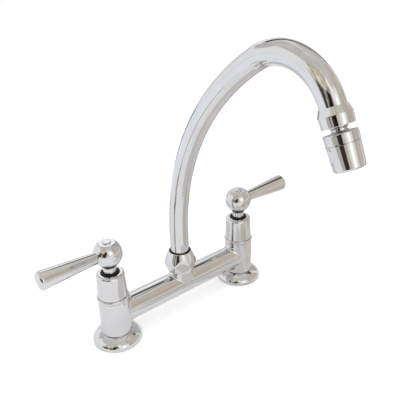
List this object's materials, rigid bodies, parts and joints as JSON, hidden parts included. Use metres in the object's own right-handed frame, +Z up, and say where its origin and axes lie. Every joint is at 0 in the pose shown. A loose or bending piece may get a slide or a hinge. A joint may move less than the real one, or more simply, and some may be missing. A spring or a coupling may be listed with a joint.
{
  "type": "two handle bridge kitchen faucet",
  "caption": "chromed bridge faucet with a lever valve on each side, a tall swinging gooseneck spout and a short tilting spray head",
  "frame": {"origin": "on the deck, half way between the two inlets", "axes": "+Z up, -Y towards the user, where the spout points; +X to the user's right"},
  "size_m": [0.332, 0.2493, 0.374],
  "materials": {
    "polished_chrome": "polished chrome plate on brass",
    "bare_brass": "machined brass",
    "spring_steel": "bright zinc plated steel",
    "black_nylon": "black moulded nylon",
    "black_rubber": "black rubber",
    "white_seal": "white slippery plastic",
    "ceramic": "lapped white ceramic",
    "grey_plastic": "grey moulded plastic"
  },
  "bodies": {
    "body": {"body_casting": "polished_chrome", "spout_nut": "polished_chrome", "spout_bearing": "black_nylon", "bonnet_left": "polished_chrome", "bonnet_right": "polished_chrome", "flange_left": "polished_chrome", "flange_right": "polished_chrome", "flange_gasket_left": "black_rubber", "flange_gasket_right": "black_rubber", "inlet_tail_left": "bare_brass", "inlet_tail_right": "bare_brass", "clamp_washer_left": "black_rubber", "clamp_washer_right": "black_rubber", "steel_washer_left": "spring_steel", "steel_washer_right": "spring_steel", "backnut_left": "bare_brass", "backnut_right": "bare_brass", "headwork_left": "bare_brass", "headwork_right": "bare_brass", "gland_ring_left": "black_nylon", "gland_ring_right": "black_nylon", "fixed_disc_left": "ceramic", "fixed_disc_right": "ceramic", "seat_seal_left": "black_rubber", "seat_seal_right": "black_rubber"},
    "spout": {"spout_tube": "polished_chrome", "spout_bush": "bare_brass", "spout_orings": "black_rubber", "outlet_collar": "polished_chrome", "stem_seal": "white_seal"},
    "swivel": {"swivel_stem": "polished_chrome", "stem_clip": "spring_steel"},
    "spray_head": {"swivel_cap": "polished_chrome", "ball_seal": "white_seal", "aerator_housing": "polished_chrome", "aerator_insert": "grey_plastic", "aerator_screen": "spring_steel", "aerator_washer": "black_rubber"},
    "handle_left": {"spindle_left": "bare_brass", "moving_disc_left": "ceramic", "spindle_orings_left": "black_rubber", "spindle_circlip_left": "spring_steel", "handle_collar_left": "polished_chrome", "ball_washer_left": "black_rubber", "handle_ball_left": "polished_chrome", "lever_left": "polished_chrome", "handle_screw_left": "spring_steel", "index_cap_left": "polished_chrome"},
    "handle_right": {"spindle_right": "bare_brass", "moving_disc_right": "ceramic", "spindle_orings_right": "black_rubber", "spindle_circlip_right": "spring_steel", "handle_collar_right": "polished_chrome", "ball_washer_right": "black_rubber", "handle_ball_right": "polished_chrome", "lever_right": "polished_chrome", "handle_screw_right": "spring_steel", "index_cap_right": "polished_chrome"}
  },
  "joints": [
    {"name": "left_valve", "type": "hinge", "parent": "body", "child": "handle_left", "pos_m": [-0.09, 0, 0.10703], "axis": [0, 0, 1], "range_deg": [0, 90]},
    {"name": "right_valve", "type": "hinge", "parent": "body", "child": "handle_right", "pos_m": [0.09, 0, 0.10703], "axis": [0, 0, 1], "range_deg": [-90, 0]},
    {"name": "spout_swing", "type": "hinge", "parent": "body", "child": "spout", "pos_m": [0, 0, 0.065], "axis": [0, 0, 1], "continuous": true},
    {"name": "swivel_spin", "type": "hinge", "parent": "spout", "child": "swivel", "pos_m": [0, -0.19897, 0.26706], "axis": [0, -0.4163, -0.9092], "continuous": true},
    {"name": "head_tilt", "type": "hinge", "parent": "swivel", "child": "spray_head", "pos_m": [0, -0.20342, 0.25733], "axis": [1, 0, 0], "range_deg": [-12, 12]}
  ]
}
